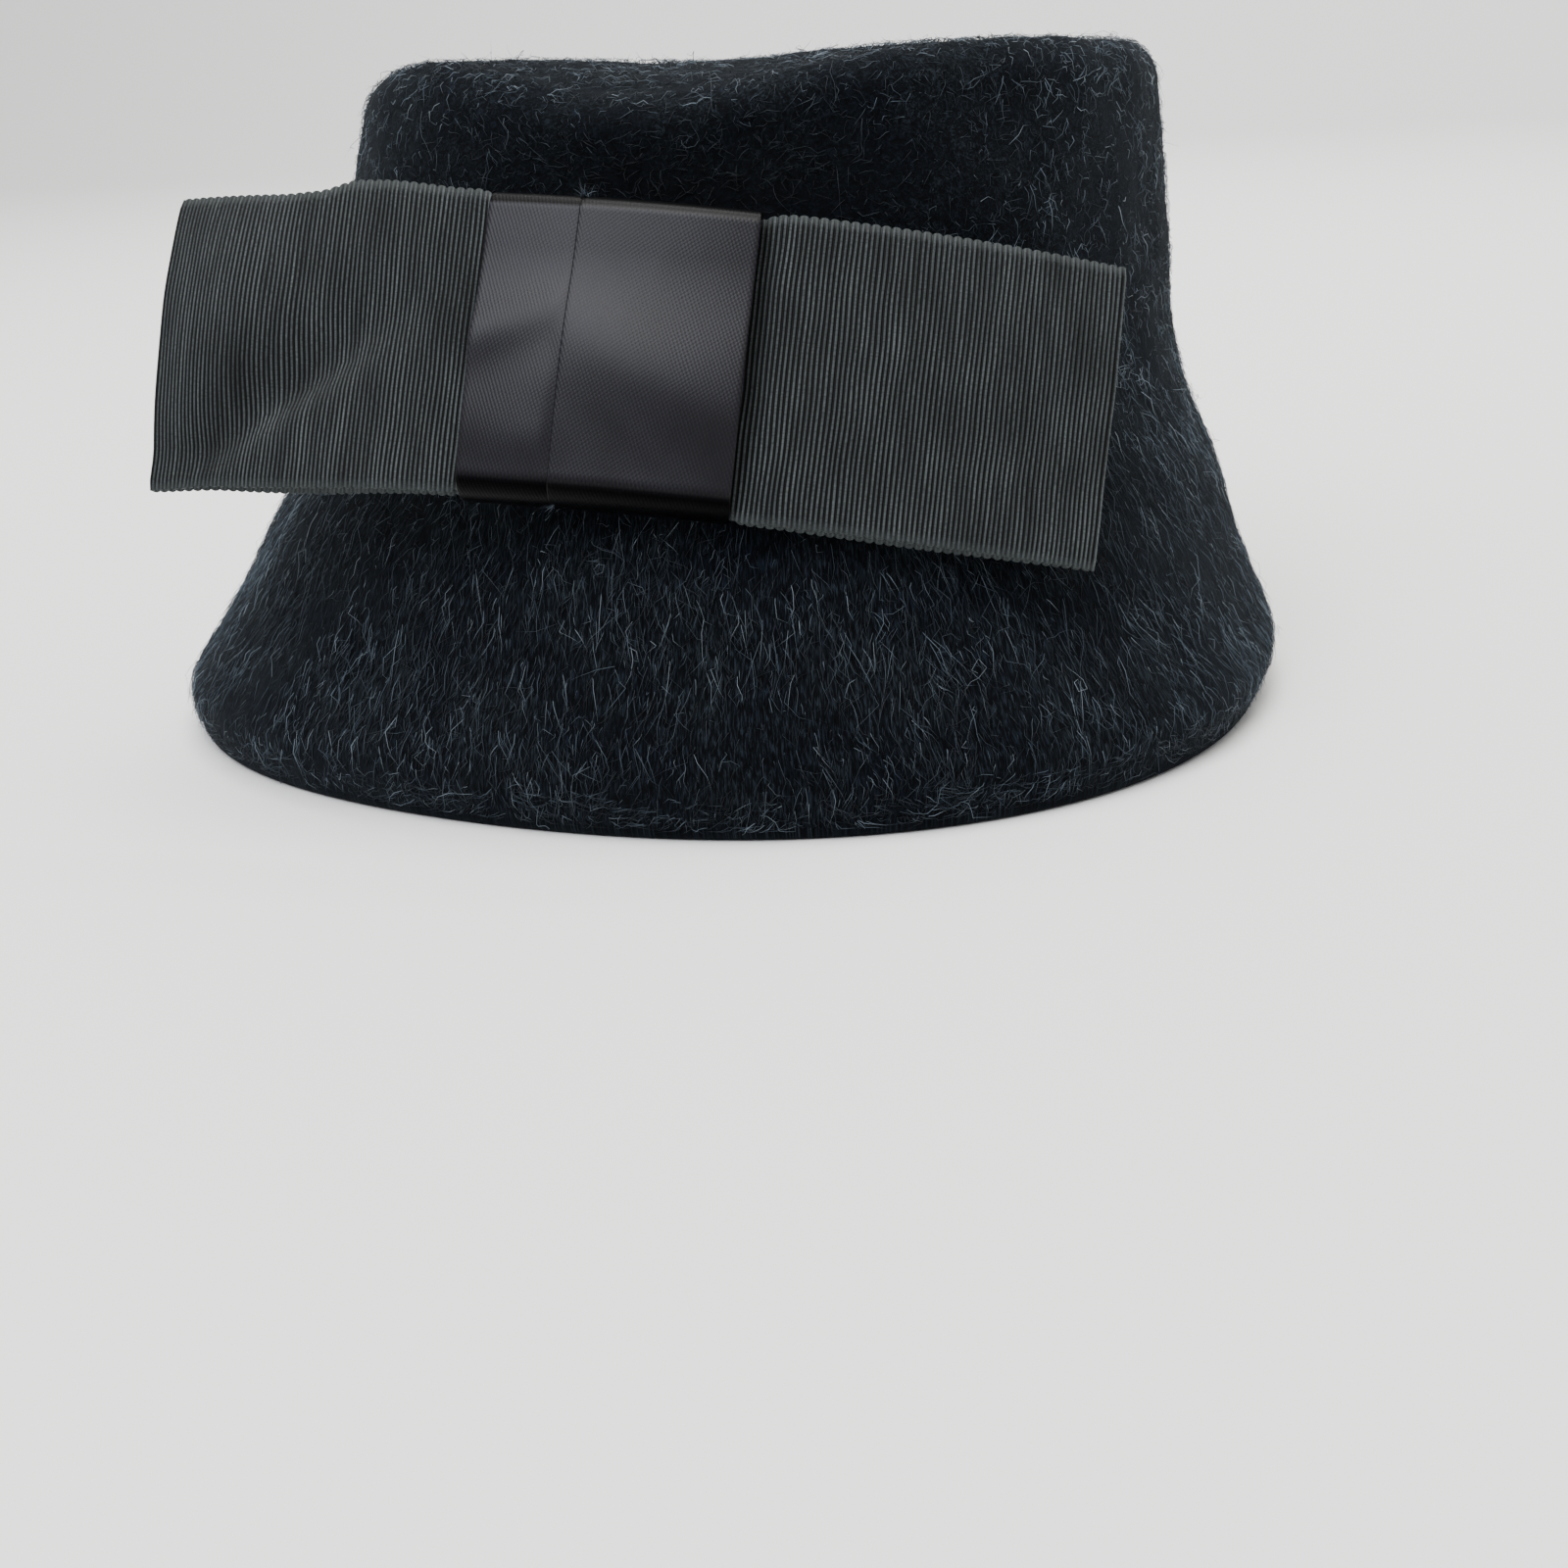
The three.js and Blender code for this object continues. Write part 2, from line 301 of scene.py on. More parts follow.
def feltOuter(reachUp, angle):
    # A point of the outer face, in mm: reachUp runs from 0 at the rim to outerLength at the middle of the top.
    height, halfWidth, halfLength, reach = (
        np.interp(reachUp, profileLength, profileRows[:, k]) for k in range(4))
    turn = np.degrees(np.arctan2(np.cos(angle), -np.sin(angle)))
    shape = feltShape
    rimShare = np.maximum(0, 1 - height / shape["lobeFade"])
    wave = 1 + shape["lobeShare"] * rimShare * np.cos(np.radians(shape["lobes"] * (turn - shape["lobeAngle"])))
    pressed = (shape["dentDepth"] * bell(turn - shape["dentAngle"], shape["dentAngleSpread"])
               * bell(height - shape["dentHeight"], shape["dentHeightSpread"]) * reach)
    up = smoothStep(height, shape["tiltFrom"], shape["crownHeight"])
    rise = sum(e["rise"] * bell(turn - e["angle"], e["spread"]) for e in shape["edges"])
    lean = np.maximum(0, height - shape["leanStart"])
    x = (halfWidth * wave - pressed) * np.cos(angle)
    y = (halfLength * wave - pressed) * np.sin(angle)
    z = height - shape["topDrop"] * y * up + rise * up ** 3 * reach ** 2
    return np.stack([x + shape["leanLeft"] * lean, y + shape["leanBack"] * lean, z], axis=-1)


def dentShadeShare(reachUp, angle):
    # How strongly the front dent is felt at a place: the felt and its fibres get painted shade there, darkest
    # in its middle.
    height = np.interp(reachUp, profileLength, profileRows[:, 0])
    turn = np.degrees(np.arctan2(np.cos(angle), -np.sin(angle)))
    onWall = reachUp < 0.62 * outerLength
    return (bell(turn - feltShape["dentAngle"], feltShape["dentAngleSpread"])
            * bell(height - feltShape["dentHeight"], feltShape["dentHeightSpread"]) * onWall)


def feltFrame(reachUp, angle):
    # Point, outward normal and the millimetres that one radian round the hat covers there.
    safe = np.clip(reachUp, 0, outerLength - 2)
    step, swing = 0.4, 0.004
    above, below = np.minimum(safe + step, outerLength), np.maximum(safe - step, 0)
    upward = feltOuter(above, angle) - feltOuter(below, angle)
    around = feltOuter(safe, angle + swing) - feltOuter(safe, angle - swing)
    upward /= np.linalg.norm(upward, axis=-1, keepdims=True)
    perTurn = np.linalg.norm(around, axis=-1, keepdims=True) / (2 * swing)
    around /= perTurn * 2 * swing
    normal = np.cross(around, upward)
    normal /= np.linalg.norm(normal, axis=-1, keepdims=True)
    return feltOuter(reachUp, angle), normal, perTurn[..., 0]


def hatShift():
    # The felt's own middle, from the same dense outline, against the middle of the CAD solid.
    angle = np.linspace(0, 2 * math.pi, 721)[:-1]
    reachUp = np.linspace(0, outerLength, 200)
    grid = feltOuter(*(g.ravel() for g in np.meshgrid(reachUp, angle)))
    low, high = (np.array(c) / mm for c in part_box("felt_body"))
    middles = (low + high) / 2 - (grid.min(0) + grid.max(0)) / 2
    return np.array([middles[0], middles[1], 0])


shift = hatShift()
print("the hat is shifted by", shift.round(3), "mm")


def feltPlace(along, across):
    # One sheet runs down the inside, round the rim and up the outside.
    shape = feltShape
    row = across * feltRows
    inner = row < shape["innerRows"]
    rim = (row >= shape["innerRows"]) & (row <= shape["innerRows"] + shape["rimRows"])
    up = np.where(inner, 1 - row / shape["innerRows"],
                  (row - shape["innerRows"] - shape["rimRows"]) / shape["outerRows"])
    reachUp = np.where(rim, 0, np.clip(up, 0, 1)) * outerLength
    angle = along * 2 * math.pi
    point, normal, _ = feltFrame(reachUp, angle)
    atRim = np.exp(-np.maximum(0, point[:, 2]) / shape["rimFade"])
    thickness = shape["thickness"] + (shape["rimThickness"] - shape["thickness"]) * atRim
    soft = sum(height * lumps(point, wavelength, seed) for height, wavelength, seed in shape["lumps"])
    bulge = np.where(rim | inner, 0, soft * np.clip(reachUp / shape["rimFade"], 0, 1))
    point = point + normal * (bulge - np.where(inner, thickness, 0))[:, None]
    # The rim closes the wall with a half-round edge.
    turn = np.clip((row - shape["innerRows"]) / shape["rimRows"], 0, 1) * math.pi
    flat = normal * np.array([1, 1, 0])
    flat /= np.linalg.norm(flat, axis=-1, keepdims=True)
    half = (thickness / 2)[:, None]
    rimPoint = feltOuter(np.zeros(len(row)), angle) - flat * half * (1 + np.cos(turn))[:, None]
    rimPoint[:, 2] *= 1 - np.sin(turn)
    point = np.where(rim[:, None], rimPoint, point)
    rimGirth = 0.72                                   # metres round the rim, to lay the weave true to size
    uv = np.column_stack([along * rimGirth, np.where(inner, -1, 1) * reachUp * mm])
    crown = smoothStep(reachUp, shape["crownFrom"], shape["crownTo"])
    # The pressed value is painted shade: the material darkens the felt by it in the front dent.
    return point + shift, uv, {"crown": crown, "pressed": dentShadeShare(reachUp, angle)}


feltBody = warpedGrid("moulded_felt", feltShape["around"], feltRows, feltPlace)
print("felt body:", len(feltBody.data.polygons), "faces")


# Bow: one grosgrain ribbon folded flat into a ring, and the satin wrap round its middle

bowShape = {
    "seat": (2.1, -97.9, 82.9), "yaw": 6.5, "lean": 22, "droop": 7.1, "bendRadius": 200,
    "halfLength": 89.7, "ribbonWidth": 54, "wrapHalfWidth": 23.8,
    "depthAtWrap": 3.8, "depthInLoop": 6.4, "depthAtFold": 2.4,
}
grosgrain = {
    "rib": 0.9, "ribHeight": 0.3, "ribSteps": 6, "thickness": 0.62, "halfWall": 0.5,
    "scallop": 0.42, "selvedge": 1.3, "frontRows": 24, "backRows": 14,
    # Woven by machine but not quite even: the cords wander a little and differ in tone. Rows are strength,
    # wavelength, seed and factor across.
    "wander": [(0.04, 2.4, 31, 1), (0.08, 11, 32, 6)],
    "tone": [(0.15, 1.8, 33, 1), (0.14, 16, 34, 6)], "middleTone": 0.6, "acrossShare": 0.14,
    # The loop on the wearer's right bows forwards. Shares run from 0 at the wrap to 1 at the fold, and its two
    # layers keep some room between them.
    "bulge": 2.7, "bulgeAt": 5, "bulgeReach": 23, "curlBack": -0.2, "foldFrom": 0.75, "foldShare": 0.6,
    "frontBulge": (0.36, 0.86), "backBulge": (0.45, 0.95), "flare": 1.4, "flareFrom": 0.4, "room": 1.85,
    # Its slanting crease: soft on the upper side, steep on the lower one.
    "crease": 2.4, "creaseSlope": 0.66, "creaseStart": -47, "creaseLow": 1.3, "creaseMiddle": -58,
    "creaseSpread": 12.5, "creaseSoft": 6.5, "creaseSteep": 2.7,
    # The left loop has two soft swells, the outer and the inner one, and is pinched beside the wrap.
    "swells": [{"height": 0.8, "from": (30, 60), "y": 9, "spreadY": 12},
               {"height": 0.7, "x": 36, "spreadX": 9, "y": -9, "spreadY": 9}],
    "pinch": 1.9, "pinchReach": 2.6, "pinchTilt": 0.45, "pinchFrom": (0, 23),
    # Rises and dips of the right loop's two edges, and the narrowing under the wrap.
    "topRise": 1.9, "topRiseFrom": (-59, -50), "topRiseEnd": (-46, -27), "topRiseLost": 0.75,
    "tipDip": 0.5, "tipDipFrom": (58, 66), "edgePower": 1.6,
    "bottomRise": 0.8, "bottomRiseAt": -34, "bottomRiseSpread": 14, "bottomDip": 0.9, "bottomDipFrom": (74, 90),
    "tuck": 0.036, "tuckInside": 1.5, "tuckOutside": 3,
}


def bowToHat(points):
    # From the bow's own frame, x along it, y across it and z outwards, to the hat.
    shape = bowShape
    turn = points[:, 0] / shape["bendRadius"]
    radius = shape["bendRadius"] + points[:, 2]
    bent = np.column_stack([radius * np.sin(turn), points[:, 1], radius * np.cos(turn) - shape["bendRadius"]])
    place = (Matrix.Rotation(math.radians(shape["yaw"]), 3, "Z")
             @ Matrix.Rotation(math.radians(90 - shape["lean"]), 3, "X")
             @ Matrix.Rotation(math.radians(-shape["droop"]), 3, "Z"))
    return bent @ np.array(place).T + np.array(shape["seat"]) + shift


def bowDepth(x):
    shape = bowShape
    loop = shape["halfLength"] - shape["wrapHalfWidth"]
    across = np.clip((np.abs(x) - shape["wrapHalfWidth"]) / loop, 0, 1)
    ends = shape["depthAtWrap"] + (shape["depthAtFold"] - shape["depthAtWrap"]) * across
    return ends + (shape["depthInLoop"] - ends) * np.sin(math.pi * across) ** 1.5


def ribbonRing():
    # Middle line of the ribbon seen from its edge: front, fold, back, fold, with the length along it.
    half = grosgrain["halfWall"]
    fold = (bowShape["depthAtFold"] - 2 * half) / 2
    reach = bowShape["halfLength"] - fold - half
    x = np.linspace(-reach, reach, 240)
    turn = np.radians(np.linspace(90, -90, 24))[1:-1]
    front = np.column_stack([x, np.full(len(x), -half)])
    back = np.column_stack([x[::-1], -bowDepth(x[::-1]) + half])
    back[[0, -1], 1] = -half - 2 * fold
    right = np.column_stack([reach + fold * np.cos(turn), -half - fold + fold * np.sin(turn)])
    left = np.column_stack([-reach - fold * np.cos(turn), -half - fold - fold * np.sin(turn)])
    ring = np.vstack([front, right, back, left, front[:1]])
    length = np.concatenate([[0], np.cumsum(np.hypot(*np.diff(ring, axis=0).T))])
    return ring, length


ringLine, ringLength = ribbonRing()


def onRing(s):
    return np.array([np.interp(s % ringLength[-1], ringLength, ringLine[:, k]) for k in range(2)])


ribCount = 2 * round(ringLength[-1] / grosgrain["rib"] / 2)
ribbonRows = grosgrain["frontRows"] + grosgrain["backRows"] + 2


def ribbonWaves(x, y, front):
    # Soft bends of the loops: a move outwards and one across the ribbon.
    cloth, wrapEdge, half = grosgrain, bowShape["wrapHalfWidth"], bowShape["ribbonWidth"] / 2
    out = np.clip((-x - wrapEdge) / (bowShape["halfLength"] - wrapEdge), 0, 1)
    crowned = np.clip(1 - ((y - cloth["bulgeAt"]) / cloth["bulgeReach"]) ** 2, cloth["curlBack"], 1)
    bulge = cloth["bulge"] * (1 - (1 - cloth["foldShare"]) * smoothStep(out, cloth["foldFrom"], 1)) * crowned
    above = y - (cloth["creaseSlope"] * (x - cloth["creaseStart"]) - cloth["creaseLow"])
    dent = bell(above, np.where(above > 0, cloth["creaseSoft"], cloth["creaseSteep"]))
    crease = cloth["crease"] * dent * bell(x - cloth["creaseMiddle"], cloth["creaseSpread"])
    outer, inner = cloth["swells"]
    swells = smoothStep(x, *outer["from"]) * bell(y - outer["y"], outer["spreadY"]) * outer["height"]
    swells += bell(x - inner["x"], inner["spreadX"]) * bell(y - inner["y"], inner["spreadY"]) * inner["height"]
    pinch = bell(np.maximum(0, x - wrapEdge), cloth["pinchReach"]) * smoothStep(x, *cloth["pinchFrom"])
    pinch *= cloth["pinch"] * (1 + cloth["pinchTilt"] * y / half)
    outward = bulge * smoothStep(out, *cloth["frontBulge"]) - crease + swells - pinch
    behind = np.minimum(bulge * smoothStep(out, *cloth["backBulge"]), outward + bowDepth(x) - cloth["room"])
    outward = np.where(front, outward, behind) + cloth["flare"] * smoothStep(out, cloth["flareFrom"], 1)
    upperLift = (cloth["topRise"] * smoothStep(x, *cloth["topRiseFrom"])
                 * (1 - cloth["topRiseLost"] * smoothStep(x, *cloth["topRiseEnd"]))
                 - cloth["tipDip"] * smoothStep(-x, *cloth["tipDipFrom"]))
    lowerLift = (cloth["bottomRise"] * bell(x - cloth["bottomRiseAt"], cloth["bottomRiseSpread"])
                 - cloth["bottomDip"] * smoothStep(-x, *cloth["bottomDipFrom"]))
    across = np.where((x < 0) & (y > 0), upperLift * (np.abs(y) / half) ** cloth["edgePower"], 0)
    across += np.where((x < 0) & (y < 0), lowerLift, 0) * (y / -half)
    tucked = 1 - smoothStep(np.abs(x), wrapEdge - cloth["tuckInside"], wrapEdge + cloth["tuckOutside"])
    across -= y * cloth["tuck"] * tucked
    return outward, across


def unevenness(here, rows):
    # Each row is strength, wavelength, seed and a factor on how fast it changes across the ribbon.
    return sum(strength * lumps(here * [1, finer, 1], wavelength, seed)
               for strength, wavelength, seed, finer in rows)


def ribbonPlace(along, across):
    cloth = grosgrain
    total = ringLength[-1]
    s = (along * total) % total
    x, z = onRing(s)
    dx, dz = onRing(s + 0.3) - onRing(s - 0.3)
    size = np.hypot(dx, dz)
    outX, outZ = -dz / size, dx / size
    # The section of the ribbon: ribbed face with rounded selvedges, then the smooth face inside the loops.
    row = np.rint(across * ribbonRows) % ribbonRows
    face = row <= cloth["frontRows"]
    edgeward = np.where(face, 1 - 2 * row / cloth["frontRows"],
                        2 * (row - cloth["frontRows"] - 1) / cloth["backRows"] - 1)
    edgeward = np.where(face, np.sign(edgeward) * np.abs(edgeward) ** 0.8, edgeward)
    half = bowShape["ribbonWidth"] / 2
    rib = s / total * ribCount
    valley = 1 - np.abs(2 * (rib % 1) - 1)            # 0 in the valley between two ribs, 1 on a rib
    crest = np.minimum(1, 1.9 * valley) ** 0.8
    pair = np.where(edgeward > 0, rib % 2, (rib + 1) % 2)
    joined = bell(pair - 1, 0.3)                      # the valley that the cord's turn closes at this edge
    turnZone = smoothStep(np.abs(edgeward) * half, half - cloth["selvedge"], half - 0.3)
    crest = np.maximum(crest, joined * turnZone)
    notch = 1 - np.sin(math.pi * pair / 2) ** 0.7
    y = edgeward * (half - cloth["scallop"] * notch)
    lift = np.where(face, cloth["thickness"] / 2 + cloth["ribHeight"] * (crest - 0.5), -cloth["thickness"] / 2)
    lift *= np.where(face, 1 - 0.55 * smoothStep(np.abs(edgeward), 0.985, 1), 1)
    # The noise is read on a circle, so that it meets itself where the ring closes.
    turn, radius = s / total * 2 * math.pi, total / (2 * math.pi)
    here = np.column_stack([radius * np.cos(turn), y * cloth["acrossShare"], radius * np.sin(turn)])
    wander = unevenness(here, cloth["wander"])
    tone = np.clip(cloth["middleTone"] + unevenness(here, cloth["tone"]), 0, 1)
    isFront = z > -bowDepth(x) / 2
    outward, sideways = ribbonWaves(x, y, isFront)
    points = np.column_stack([x + outX * lift + outZ * wander, y + sideways, z + outZ * lift + outward])
    uv = np.column_stack([s, y]) * mm
    # Besides shaping the ribs, the rib value paints shade in the valleys and a highlight on the crests.
    return bowToHat(points), uv, {"rib": crest, "selvedge": turnZone, "tone": tone}


bowRibbon = warpedGrid("grosgrain_bow", ribCount * grosgrain["ribSteps"], ribbonRows, ribbonPlace)
print("ribbon:", ribCount, "ribs,", len(bowRibbon.data.polygons), "faces")

satin = {
    "halfWidth": 23.8, "thickness": 0.55, "top": 26.6, "topCorner": 2.4, "bottomCorner": 4.2, "backCorner": 1.2,
    "frontTop": 0.9, "frontBottom": 1.9, "backRoom": 0.3, "edgeRound": 0.26, "along": 220,
    # One pleat: its place, its height, the shadow gap under its fold and how far the lower layer runs in below.
    "pleatAt": -7.4, "pleatStep": 0.75, "pleatGap": 0.2, "pleatUnder": 0.9, "pleatCloth": 6,
    # The front is fuller a little below its middle.
    "full": 1.5, "fullAt": -5, "fullSpan": 44, "narrowFrom": -10, "narrowTo": -7,
    # Soft creases on the narrow side of the pleat and on the wide one. Each is a ridge or, below 0, a hollow
    # along a slanting line through x, y. Some fade out away from a place on that line.
    "folds": [
        {"side": "narrow", "height": 0.5, "slope": 0.36, "x": -16, "y": 4, "spread": 3.4},
        {"side": "narrow", "height": -0.5, "slope": 0.36, "x": -16, "y": -4, "spread": 4.5, "nearX": (-21, 6)},
        {"side": "narrow", "height": 0.35, "slope": 0, "x": 0, "y": -17, "spread": 3.5, "nearX": (-12, 7)},
        {"side": "wide", "height": 0.38, "slope": -0.5, "x": 8, "y": -3, "spread": 5},
        {"side": "wide", "height": -0.22, "slope": -0.5, "x": 8, "y": -16, "spread": 5},
        {"side": "wide", "height": 0.12, "slope": -0.9, "x": 12, "y": -19, "spread": 2.2, "nearY": (-20, 6)},
    ],
}


def satinRing():
    # Inner line of the wrap round the bow: front, under edge, back and upper edge, with outward directions.
    top, back = satin["top"], -bowShape["depthAtWrap"] - satin["backRoom"]
    corners = [(top, satin["frontTop"], 0, satin["topCorner"]),
               (-top, satin["frontBottom"], 90, satin["bottomCorner"]),
               (-top, back, 180, satin["backCorner"]), (top, back, 270, satin["backCorner"])]
    line = []
    for y, z, start, radius in corners:
        middleY, middleZ = y - math.copysign(radius, y), z + (-radius if start < 180 else radius)
        for turn in np.radians(np.linspace(start, start + 90, 13)):
            line.append((middleY + radius * math.cos(turn), middleZ + radius * math.sin(turn),
                         math.cos(turn), math.sin(turn)))
    line.append(line[0])
    line = np.array(line)
    length = np.concatenate([[0], np.cumsum(np.hypot(*np.diff(line[:, :2], axis=0).T))])
    return line, length


satinLine, satinLength = satinRing()


def satinSection():
    # Section of the wrap, from its wearer's-right edge to the left one and back inside: x, height, lapped.
    half, thick, pleat, under = satin["halfWidth"], satin["thickness"], satin["pleatAt"], satin["pleatUnder"]
    step, gap, r = satin["pleatStep"], satin["pleatGap"], satin["edgeRound"]
    fold = (step - gap) / 2
    middle = thick + gap + fold
    quarter, nose = np.radians([0, 30, 60, 90]), np.radians([-60, -20, 20, 60, 90])
    points = [(-half + r - r * math.cos(t), thick - r + r * math.sin(t), 0) for t in quarter]
    points += [(x, thick, 0) for x in np.linspace(-half + 1, pleat - 1.4, 22)]
    points += [(pleat - 0.7, thick, 0), (pleat - 0.2, thick - 0.02, 0), (pleat + under, thick - 0.08, 0)]
    points += [(pleat + under, thick + gap * 0.6, 1)]
    points += [(pleat + fold - fold * math.cos(t), middle + fold * math.sin(t), 1) for t in nose]
    points += [(x, thick + step, 1) for x in np.linspace(pleat + 1.2, half - 1, 40)]
    points += [(half - r + r * math.sin(t), thick + step - r + r * math.cos(t), 1) for t in quarter]
    points += [(x, 0, 0) for x in np.linspace(half - 0.1, -half + 0.1, 12)]
    points.append(points[0])
    return np.array(points)


sectionPoints = satinSection()


def satinWaves(x, y):
    # How far the front stands out over the bow, in mm.
    full = satin["full"] * np.cos(math.pi * np.clip((y - satin["fullAt"]) / satin["fullSpan"], -0.5, 0.5)) ** 2
    narrow = 1 - smoothStep(x, satin["narrowFrom"], satin["narrowTo"])
    sides = {"narrow": narrow, "wide": 1 - narrow}
    for fold in satin["folds"]:
        line = y - fold["slope"] * (x - fold["x"]) - fold["y"]
        part = sides[fold["side"]] * fold["height"] * bell(line, fold["spread"])
        for value, key in ((x, "nearX"), (y, "nearY")):
            if key in fold:
                place, spread = fold[key]
                part = part * bell(value - place, spread)
        full = full + part
    return full


def satinPlace(along, across):
    s = along * satinLength[-1]
    y, z, outY, outZ = (np.interp(s, satinLength, satinLine[:, k]) for k in range(4))
    size = np.hypot(outY, outZ)
    outY, outZ = outY / size, outZ / size
    k = across * (len(sectionPoints) - 1)
    x, height, lapped = (np.interp(k, np.arange(len(sectionPoints)), sectionPoints[:, c]) for c in range(3))
    lap = np.maximum(0, outZ) ** 4                    # the pleat is pressed flat over the bow's edges
    thick = satin["thickness"]
    height = np.where(height > thick, thick + (height - thick) * lap, height)
    onFront = np.maximum(0, outZ) ** 2
    height = height + onFront * satinWaves(x, y) * (height > 0)
    points = np.column_stack([x, y + outY * height, z + outZ * height])
    uv = np.column_stack([x + np.where(lapped > 0.5, satin["pleatCloth"], 0), s]) * mm
    # The turned value marks where the cloth turns over its upper and lower edges; the material paints shade
    # there.
    return bowToHat(points), uv, {"turned": smoothStep(np.abs(outY), 0.03, 0.35)}


satinWrap = warpedGrid("satin_wrap_cloth", satin["along"], len(sectionPoints) - 1, satinPlace)
print("satin wrap:", len(satinWrap.data.polygons), "faces")


# Nap: loose mohair fibres that lie on the felt, and the threads that have come free at the satin's pleat

napKinds = [
    # Lengths, lifts, fades and radii in mm, headings in degrees from straight down the felt. The hairs are
    # drawn 0.12 mm thick, about four times as thick as real mohair, and far fewer.
    {"name": "brim_nap", "count": 18000, "low": 2, "high": 96, "fade": (1, 48), "length": (2.5, 6.5),
     "heading": 0, "stray": 24, "curl": 45, "lift": (0.25, 0.8), "radius": 0.062, "pale": 0,
     "steps": 2, "seed": 11},
    {"name": "brim_long_nap", "count": 9000, "low": 6, "high": 92, "fade": (4, 42), "length": (6, 14),
     "heading": 4, "stray": 17, "curl": 60, "lift": (0.3, 1.1), "radius": 0.062, "pale": 0,
     "steps": 3, "seed": 12},
    {"name": "rim_nap", "count": 3200, "low": 0.2, "high": 8, "fade": (0.1, 3), "length": (2.5, 8),
     "heading": 80, "stray": 30, "curl": 60, "lift": (0.2, 0.9), "radius": 0.062, "pale": 0,
     "steps": 3, "seed": 13},
    {"name": "crown_nap", "count": 12000, "low": 44, "high": 138, "fade": (34, 4), "length": (2.4, 7.5),
     "heading": 0, "stray": 95, "curl": 190, "lift": (0.25, 1.0), "radius": 0.06, "pale": 0.12,
     "steps": 3, "seed": 14},
    {"name": "crown_top_nap", "count": 5600, "low": 130, "high": 208, "fade": (6, 1), "length": (2.4, 7.5),
     "heading": 0, "stray": 110, "curl": 190, "lift": (0.25, 1.0), "radius": 0.062, "pale": 0.1,
     "steps": 3, "seed": 15},
    {"name": "stray_hairs", "count": 420, "low": 2, "high": 200, "fade": (1, 1), "length": (7, 19),
     "heading": 20, "stray": 80, "curl": 320, "lift": (0.8, 2.6), "radius": 0.055, "pale": 0.1,
     "steps": 7, "seed": 16},
]
napShape = {
    "sides": 3, "tries": 5, "rootSunk": 0.25, "floorRoom": 0.12, "topRoom": 6, "lyingDown": 0.1,
    "clumps": [(1, 9, 0), (0.6, 31, 40)],             # strength, wavelength in mm and seed step of the tufts
    "swirl": 60, "swirlSeed": 5,                      # wavelength over which the combing leans left or right
    "standing": 0.22, "standingTip": (0.9, 1.9), "lyingTip": (0.1, 0.6),
    # Painted shade: how much the fibres in the front dent are darkened.
    "dentPaintedShade": 0.82,
}
threadShape = {
    "count": 26, "steps": 4, "seed": 21, "length": (1.0, 2.8), "radius": 0.085, "shade": (0.2, 0.7),
    "topZ": 0.3, "bottomZ": -1.5, "away": (0.4, 1), "out": (0.2, 0.9), "bend": 0.7,
}


def strandMesh(name, paths, normals, radii, shades):
    # Tapered strands, all copies of one thin cone: paths and normals are arrays of strand, step, xyz in mm.
    count, levels, _ = paths.shape
    bm = bmesh.new()
    bmesh.ops.create_cone(bm, cap_ends=True, segments=napShape["sides"], radius1=1, radius2=0, depth=levels - 1)
    for k in range(1, levels - 1):
        bmesh.ops.bisect_plane(bm, geom=bm.verts[:] + bm.edges[:] + bm.faces[:],
                               plane_co=(0, 0, k - (levels - 1) / 2), plane_no=(0, 0, 1))
    cone = np.array([v.co for v in bm.verts])
    one = bpy.data.meshes.new(name)
    bm.to_mesh(one)
    bm.free()
    made = linkObject(name, one)
    copies = made.modifiers.new("copies", "ARRAY")
    copies.count = count
    copies.use_relative_offset = False
    copies.use_constant_offset = True
    graph = bpy.context.evaluated_depsgraph_get()
    mesh = bpy.data.meshes.new_from_object(made.evaluated_get(graph))
    made.modifiers.clear()
    made.data = mesh
    bpy.data.meshes.remove(one)

    level = np.rint(cone[:, 2] + (levels - 1) / 2).astype(int)
    turn = np.arctan2(cone[:, 1], cone[:, 0])
    along = np.gradient(paths, axis=1)
    along /= np.linalg.norm(along, axis=-1, keepdims=True)
    side = np.cross(along, normals)
    side /= np.linalg.norm(side, axis=-1, keepdims=True)
    out = np.cross(side, along)
    taper = (1 - (np.arange(levels) / (levels - 1)) ** 2.2)[level]
    radius = radii[:, None] * taper[None, :]
    points = paths[:, level] + radius[..., None] * (
        np.cos(turn)[None, :, None] * side[:, level] + np.sin(turn)[None, :, None] * out[:, level])
    mesh.vertices.foreach_set("co", (points * mm).astype(np.float32).ravel())
    values = mesh.attributes.new("shade", "FLOAT", "POINT")
    values.data.foreach_set("value", np.repeat(shades, len(cone)).astype(np.float32))
    mesh.update()
    mesh.shade_smooth()
    return made


